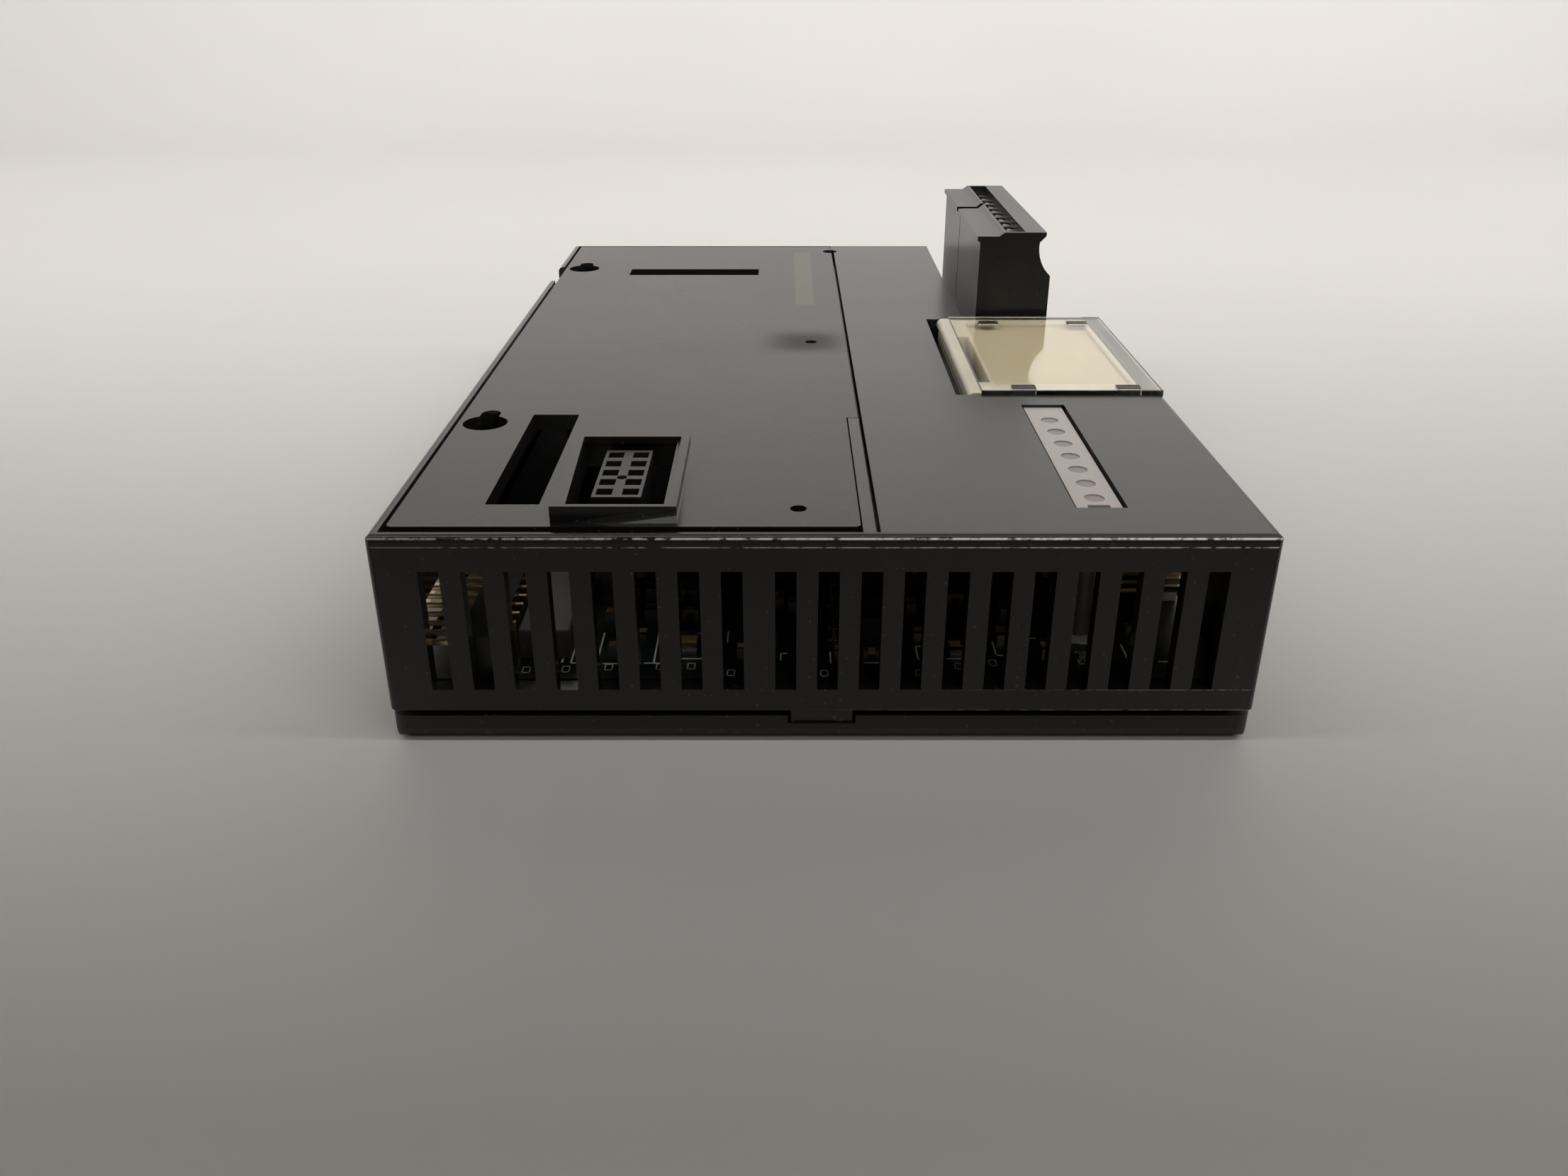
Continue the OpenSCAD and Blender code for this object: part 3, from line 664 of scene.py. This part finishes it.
def milky(name, low, high, rough, scatter):
    made = Finish(name, Subsurface_Weight=scatter, Subsurface_Scale=0.002, IOR=1.5)
    marks = made.group(HANDLING_MARKS, Patch_Size=6.0)
    made.wire(made.mix(marks["Patches"], low, high), "Base Color")
    made.wire(made.span(marks["Patches"], rough - 0.05, rough + 0.08), "Roughness")
    made.bump(made.group(MOULDED_GRAIN, Size=0.5)["Height"], 0.2, 0.01)
    return made.material


FINISHES["lens"] = milky("lens", (0.44, 0.40, 0.38), (0.50, 0.46, 0.44), 0.34, 0.15)
FINISHES["light_pipe"] = milky("light_pipe", (0.20, 0.16, 0.165), (0.27, 0.22, 0.225), 0.22, 0.1)
FINISHES["led"] = milky("led", (0.75, 0.72, 0.6), (0.85, 0.82, 0.7), 0.25, 0.2)
FINISHES["tray_plastic"] = milky("tray_plastic", (0.55, 0.50, 0.40), (0.63, 0.58, 0.47), 0.35, 0.1)
FINISHES["ceramic_part"] = milky("ceramic_part", (0.30, 0.21, 0.10), (0.40, 0.29, 0.15), 0.35, 0.0)
print(len(FINISHES), "finishes so far")

# %% [markdown]
# ### Card
#
# The label is thick khaki card. Paper shows short fibres: a noise stretched
# along one direction, mixed into the colour and into a faint relief.

# %% Card finish


@finish("card")
def card_finish():
    card = Finish("card", Roughness=0.8)
    mapping = card.node("ShaderNodeMapping", Vector=card.place, Scale=(1.0, 3.0, 1.0))
    fibres = card.node("ShaderNodeTexNoise", Vector=mapping.outputs["Vector"], Scale=1400.0, Detail=4.0)
    card.wire(card.mix(fibres.outputs["Fac"], (0.45, 0.395, 0.265), (0.56, 0.495, 0.35)), "Base Color")
    card.wire(card.span(fibres.outputs["Fac"], 0.7, 0.9), "Roughness")
    card.bump(fibres.outputs["Fac"], 0.3, 0.02)
    return card.material


print(len(FINISHES), "finishes in all")

# %% [markdown]
# ### The sweep's surface
#
# The sheet under the module is plain and pale, with a very soft sheen.

# %% Sweep finish


@finish("sweep")
def sweep_finish():
    sheet = Finish("sweep", IOR=1.4)
    tone = sheet.node("ShaderNodeTexNoise", Vector=sheet.place, Scale=6.0, Detail=2.0)
    sheet.wire(sheet.mix(tone.outputs["Fac"], (0.57, 0.555, 0.54), (0.63, 0.615, 0.60)), "Base Color")
    sheet.wire(sheet.span(tone.outputs["Fac"], 0.5, 0.6), "Roughness")
    return sheet.material


sweep.data.materials.append(FINISHES["sweep"])
print("sweep finish on", sweep.name)

# %% [markdown]
# ## Finishing the CAD parts
#
# CAD edges are perfectly sharp, and real ones never are. For each part whose
# edges show, a copy of its mesh is merged, its flat faces are joined, and its
# outward edges get a small bevel. The copy then stands in for the CAD part.
# Only outward edges are bevelled, so the copy never grows past the original.

# %% Bevelled copies
DOUBLES_WITHIN = 0.002
FLAT_WITHIN = 0.3
EDGE_LEAST = 35
SMOOTH_BELOW = 50


def merged_copy(node):
    """A bmesh of a CAD part with its doubles merged and its flat faces joined."""
    work = bmesh.new()
    work.from_mesh(NODES[node].data)
    bmesh.ops.remove_doubles(work, verts=work.verts, dist=DOUBLES_WITHIN * MM)
    bmesh.ops.dissolve_limit(work, angle_limit=math.radians(FLAT_WITHIN), verts=work.verts, edges=work.edges)
    return work


def outward_edges(work):
    """The convex edges whose faces meet at more than the least angle."""
    return [edge for edge in work.edges
            if edge.is_manifold and edge.is_convex and edge.calc_face_angle(0) > math.radians(EDGE_LEAST)]


def to_piece(work, name, body, slot):
    """Turns a bmesh into a finished piece that rides on a body."""
    mesh = bpy.data.meshes.new(name)
    work.to_mesh(mesh)
    work.free()
    mesh.shade_smooth()
    mesh.set_sharp_from_angle(angle=math.radians(SMOOTH_BELOW))
    piece = bpy.data.objects.new(name, mesh)
    bpy.context.scene.collection.objects.link(piece)
    mesh.materials.append(FINISHES[slot])
    even = piece.modifiers.new("even_shading", "WEIGHTED_NORMAL")
    even.weight = 100
    even.keep_sharp = True
    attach(piece, body)
    return piece


def soften(node, width):
    """Replaces a CAD part by a copy with bevelled outward edges, the width in millimetres."""
    work = merged_copy(node)
    bmesh.ops.bevel(work, geom=outward_edges(work), offset=width * MM, offset_type="OFFSET",
                    affect="EDGES", segments=2, profile=0.5, material=-1, clamp_overlap=True)
    piece = to_piece(work, node + "_softened", BODY_OF[node], SLOT_OF[node])
    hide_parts(node)
    return piece


SOFTENED = {
    # the width of each part's bevel in mm
    "housing": 0.07, "mounting_plate": 0.14, "expansion_socket": 0.06, "label_tray": 0.18,
    "window_flap": 0.12, "hinge_bar": 0.15, "terminal_plug": 0.12, "terminal_header": 0.12,
    "card_clips": 0.12, "led_lens": 0.06, "power_converter": 0.25, "processor_chip": 0.15,
    "optocouplers": 0.2, "bus_pins_left": 0.1, "bus_pins_right": 0.1, "link_header": 0.12,
    "capacitors": 0.5, "crystal_can": 0.3, "choke": 0.2, "bus_header_left": 0.1, "bus_header_right": 0.15,
}
for node, width in SOFTENED.items():
    piece = soften(node, width)
    print(f"{piece.name:30} {len(piece.data.polygons):6} faces")

# %% [markdown]
# ## Print on the main board
#
# The front of the board shows through the vents, so its pale print is worth
# making: outlines and short strokes around where the parts sit. Each stroke
# is a cube squeezed to a thin flat bar. The strokes are plain lines and small
# rings, and spell nothing.

# %% Printed strokes
BOARD_TOP = 5.8
INK_WIDTH = 0.17
RING_INK_WIDTH = 0.13
INK_HEIGHT = 0.03
REAR_RINGS = 26


def bar(work, low, high):
    """Adds a box between two places on the case, and returns its vertices."""
    size = [(b - a) * MM for a, b in zip(low, high)]
    middle = at(*[(a + b) / 2 for a, b in zip(low, high)])
    place = Matrix.Translation(middle) @ Matrix.Diagonal((*size, 1))
    return bmesh.ops.create_cube(work, size=1, matrix=place)["verts"]


def stroke(work, start, end, width=INK_WIDTH):
    """A printed line between two places on the board, along X or along Y."""
    half = width / 2
    low = [min(a, b) - half for a, b in zip(start, end)]
    high = [max(a, b) + half for a, b in zip(start, end)]
    bar(work, (*low, BOARD_TOP), (*high, BOARD_TOP + INK_HEIGHT))


PRINTED_LINES = (
    ((16.1, 5.4), (16.1, 12.4)), ((17.0, 5.2), (17.0, 9.0)), ((17.0, 5.2), (19.0, 5.2)),
    ((19.6, 6.9), (19.6, 11.5)), ((20.3, 5.1), (21.6, 5.1)), ((25.3, 5.4), (25.3, 12.6)),
    ((24.4, 5.2), (26.2, 5.2)), ((30.1, 6.1), (30.1, 11.5)), ((27.2, 11.5), (30.1, 11.5)),
    ((27.2, 6.1), (30.1, 6.1)), ((27.2, 6.1), (27.2, 11.5)), ((32.5, 9.5), (32.5, 11.8)),
    ((38.0, 5.8), (38.0, 7.2)), ((38.0, 7.2), (38.6, 7.2)), ((46.4, 5.3), (48.1, 5.3)),
    ((46.6, 10.4), (47.1, 10.4)), ((47.7, 10.4), (48.6, 10.4)), ((51.8, 6.0), (51.8, 8.7)),
    ((51.8, 8.7), (52.6, 8.7)), ((51.8, 6.0), (52.4, 6.0)), ((54.8, 6.1), (56.4, 6.1)),
    ((56.4, 8.6), (56.9, 8.6)), ((59.8, 6.8), (59.8, 9.6)), ((59.8, 6.8), (60.9, 6.8)),
    ((67.9, 7.45), (69.3, 7.45)), ((67.9, 6.85), (69.3, 6.85)), ((68.8, 9.2), (70.0, 9.2)),
    ((72.9, 5.2), (72.9, 9.0)), ((75.9, 5.5), (77.2, 5.5)), ((63.2, 10.4), (64.4, 10.4)),
    ((43.0, 5.2), (43.0, 7.4)), ((35.4, 5.3), (36.6, 5.3)), ((22.4, 8.0), (22.4, 10.6)),
)
RING_PLACES = (
    (12.8, 3.9), (16.7, 4.0), (20.9, 4.4), (26.0, 4.5), (29.1, 4.6), (33.1, 3.3),
    (43.9, 10.5), (51.7, 3.3), (55.7, 4.6), (59.2, 5.3), (68.2, 5.6), (42.3, 3.2),
)


def ring(work, x, y, length=1.1, width=0.7):
    """A small printed ring, drawn as four strokes."""
    right, rear = x + width / 2, y + length / 2
    left, front = x - width / 2, y - length / 2
    for start, end in (((left, front), (right, front)), ((left, rear), (right, rear)),
                       ((left, front), (left, rear)), ((right, front), (right, rear))):
        stroke(work, start, end, RING_INK_WIDTH)


ink_work = bmesh.new()
for start, end in PRINTED_LINES:
    stroke(ink_work, start, end)
for x, y in RING_PLACES:
    ring(ink_work, x, y)
spread = random.Random(4)
for index in range(REAR_RINGS):
    x, y = spread.uniform(8, 60), spread.uniform(112, 127)
    ring(ink_work, x, y, spread.uniform(1.0, 3.0), spread.uniform(0.8, 2.6))
board_print = to_piece(ink_work, "board_print", "module", "board")
board_print.data.materials[0] = FINISHES["print_ink"]
print("board print:", len(board_print.data.polygons), "faces")

# %% [markdown]
# ## Small parts on the board
#
# Surface-mounted parts are little ceramic bricks with a tinned cap at each
# end. Their bodies make one piece and their caps another, since they differ in
# finish. Each brick is a bevelled cube, and the caps are slightly larger, as
# solder always is. A few stand where they show behind the vents, and the rest
# fill the free places of the board.

# %% Surface-mounted parts
CAP_GROWTH = 0.04
CAP_SHARE = 0.26
BRICK_BEVEL = 0.06
FIELD_HEIGHT = 0.55
FIELD_COLUMNS = 5
FRONT_PARTS = (
    # X, Y of the middle, size across and along in mm, height, and the way the caps face
    (28.6, 8.7, 1.7, 3.4, 0.8, "Y"), (55.7, 7.9, 1.2, 2.6, 0.7, "Y"), (61.0, 11.0, 1.3, 2.6, 0.7, "Y"),
    (64.9, 8.0, 0.8, 2.2, 0.6, "Y"), (68.6, 6.2, 1.3, 0.9, 0.5, "X"), (34.0, 8.0, 0.8, 1.7, 0.5, "Y"),
    (47.2, 7.2, 1.6, 0.9, 0.5, "X"), (43.9, 7.6, 0.8, 1.6, 0.5, "Y"), (20.9, 8.4, 0.9, 1.8, 0.5, "Y"),
    (23.6, 11.2, 0.9, 1.8, 0.5, "Y"), (52.3, 11.4, 0.9, 1.8, 0.5, "Y"), (75.0, 12.4, 1.7, 0.9, 0.5, "X"),
    (72.1, 11.4, 0.9, 1.7, 0.5, "Y"), (37.0, 10.4, 1.0, 2.0, 0.6, "Y"),
)
FREE_FIELDS = (
    # left, right, front, rear, how many
    (19, 29, 14, 30, 14), (34, 42, 14, 54, 22), (51, 64, 14, 66, 26),
    (8, 22, 92, 122, 20), (24, 60, 92, 121, 34),
)


def small_part(bodies, caps, x, y, across, along, height, faces):
    """One surface-mounted part: a bevelled brick and its two tinned ends."""
    low = (x - across / 2, y - along / 2, BOARD_TOP)
    high = (x + across / 2, y + along / 2, BOARD_TOP + height)
    verts = bar(bodies, low, high)
    edges = list({edge for vert in verts for edge in vert.link_edges})
    bmesh.ops.bevel(bodies, geom=edges, offset=BRICK_BEVEL * MM, offset_type="OFFSET", affect="EDGES",
                    segments=1, profile=0.5, material=-1)
    axis = "XY".index(faces)
    end = CAP_SHARE * (across, along)[axis]
    for side in (0, 1):
        cap_low = [value - CAP_GROWTH for value in low]
        cap_high = [value + CAP_GROWTH for value in high]
        cap_low[2] = BOARD_TOP
        if side:
            cap_low[axis] = high[axis] - end
        else:
            cap_high[axis] = low[axis] + end
        bar(caps, cap_low, cap_high)


part_work, cap_work = bmesh.new(), bmesh.new()
for place in FRONT_PARTS:
    small_part(part_work, cap_work, *place)
for left, right, front, rear, count in FREE_FIELDS:
    for index in range(count):
        row, column = divmod(index, FIELD_COLUMNS)
        x = left + (right - left) * (column + spread.uniform(0.3, 0.7)) / FIELD_COLUMNS
        y = front + (rear - front) * (row + spread.uniform(0.3, 0.7)) / math.ceil(count / FIELD_COLUMNS)
        across, along = spread.choice(((0.9, 1.7), (1.7, 0.9), (1.3, 2.1)))
        faces = "Y" if along > across else "X"
        small_part(part_work, cap_work, x, y, across, along, FIELD_HEIGHT, faces)
part_bodies = to_piece(part_work, "ceramic_parts", "module", "chip")
part_bodies.data.materials[0] = FINISHES["ceramic_part"]
part_caps = to_piece(cap_work, "tinned_caps", "module", "tin_pins")
print("small parts:", len(part_caps.data.polygons) // 12)

# %% [markdown]
# ## Leads of the chips
#
# A chip without leads looks like a brick. Each lead is a short foot on the
# board and a shoulder against the chip's side. The sides are read from the
# CAD chips, so that the leads follow them.

# %% Chip leads
LEAD_WIDTH = 0.4
LEAD_THICK = 0.15
LEAD_PITCH = 0.8
OPTO_LEAD = {"reach": 1.1, "height": 1.4}
CHIP_LEAD = {"reach": 0.9, "height": 0.7}


def lead(work, x, y, direction, reach, height, along_y=True):
    """One gull-wing lead that leaves a chip's side, in mm from the side's foot at X, Y."""
    half = LEAD_WIDTH / 2
    steps = (((0, reach * 0.45), (height - LEAD_THICK, height)),
             ((reach * 0.35, reach * 0.55), (0, height)),
             ((reach * 0.45, reach), (0, LEAD_THICK)))
    for out, rise in steps:
        near, far = sorted((direction * out[0], direction * out[1]))
        low, high = (x + near, y - half), (x + far, y + half)
        if not along_y:
            low, high = (x - half, y + near), (x + half, y + far)
        bar(work, (*low, BOARD_TOP + rise[0]), (*high, BOARD_TOP + rise[1]))


def case_place(point):
    """A point in metres, as millimetres from the case's left side, front and underside."""
    return [(value - start) / MM for value, start in zip(point, case_low)]


lead_work = bmesh.new()
opto_low, opto_high = (case_place(corner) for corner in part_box("optocouplers"))
OPTO_COUNT = 7
OPTO_LENGTH = 5.0
opto_step = (opto_high[1] - opto_low[1] - OPTO_LENGTH) / (OPTO_COUNT - 1)
for index in range(OPTO_COUNT):
    for offset in (1.2, 3.8):
        y = opto_low[1] + index * opto_step + offset
        lead(lead_work, opto_low[0], y, -1, **OPTO_LEAD)
        lead(lead_work, opto_high[0], y, 1, **OPTO_LEAD)
chip_low, chip_high = (case_place(corner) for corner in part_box("processor_chip"))
for index in range(int((chip_high[0] - chip_low[0] - 1) / LEAD_PITCH)):
    along = 0.9 + index * LEAD_PITCH
    lead(lead_work, chip_low[0], chip_low[1] + along, -1, **CHIP_LEAD)
    lead(lead_work, chip_high[0], chip_low[1] + along, 1, **CHIP_LEAD)
    lead(lead_work, chip_low[0] + along, chip_low[1], -1, **CHIP_LEAD, along_y=False)
    lead(lead_work, chip_low[0] + along, chip_high[1], 1, **CHIP_LEAD, along_y=False)
chip_leads = to_piece(lead_work, "chip_leads", "module", "tin_pins")
print("chip leads:", len(chip_leads.data.polygons), "faces")

# %% [markdown]
# ## Winding of the choke
#
# A choke is a ferrite core wound with enamelled copper. One turn is a circle
# of wire swept around the core's section with a spin, then copied around the
# core's axis. The turns stay inside the height the CAD gives the core.

# %% Copper turns
TURNS = 16
WIRE = 0.34
WINDING_INNER = 2.1
WINDING_OUTER = 4.6
WINDING_HEIGHTS = (BOARD_TOP + 0.4, BOARD_TOP + 5.0)


def copper_turn(work, middle, angle):
    """A closed loop of wire around the core's section, at an angle around the core."""
    loop = bmesh.new()
    radius = WIRE / 2
    height = WINDING_HEIGHTS[1] - WINDING_HEIGHTS[0]
    stretch = (WINDING_OUTER - WINDING_INNER + WIRE) / (height + WIRE)
    bmesh.ops.create_circle(loop, cap_ends=False, radius=radius * MM, segments=6,
                            matrix=Matrix.Rotation(math.radians(90), 4, "X"))
    centre = Vector((height / 2 * MM + radius * MM, 0, 0))
    bmesh.ops.translate(loop, verts=loop.verts, vec=centre)
    bmesh.ops.spin(loop, geom=loop.verts[:] + loop.edges[:], cent=(0, 0, 0), axis=(0, 1, 0), dvec=(0, 0, 0),
                   angle=math.radians(360), steps=14, use_merge=True, use_duplicate=False)
    bmesh.ops.remove_doubles(loop, verts=loop.verts, dist=0.001 * MM)
    bmesh.ops.recalc_face_normals(loop, faces=loop.faces)
    bmesh.ops.scale(loop, verts=loop.verts, vec=(stretch, 1, 1))
    place = Matrix.Translation(middle) @ Matrix.Rotation(angle, 4, "Z")
    place = place @ Matrix.Translation(((WINDING_INNER + WINDING_OUTER) / 2 * MM, 0, 0))
    bmesh.ops.transform(loop, matrix=place, verts=loop.verts)
    temporary = bpy.data.meshes.new("turn")
    loop.to_mesh(temporary)
    loop.free()
    work.from_mesh(temporary)
    bpy.data.meshes.remove(temporary)


core_low, core_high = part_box("choke")
core_middle = (core_low + core_high) / 2
turn_work = bmesh.new()
for index in range(TURNS):
    copper_turn(turn_work, core_middle, 2 * math.pi * index / TURNS)
winding = to_piece(turn_work, "choke_winding", "module", "brass_fittings")
winding.data.materials[0] = FINISHES["copper_wire"]
print("winding:", len(winding.data.polygons), "faces")

# %% [markdown]
# ## The remaining CAD parts
#
# Every part that still shows its own CAD mesh takes the material of its slot.

# %% Materials on CAD parts
for name, part in NODES.items():
    part.data.materials.clear()
    part.data.materials.append(FINISHES[SLOT_OF[name]])
print("finished", len(NODES), "CAD parts")
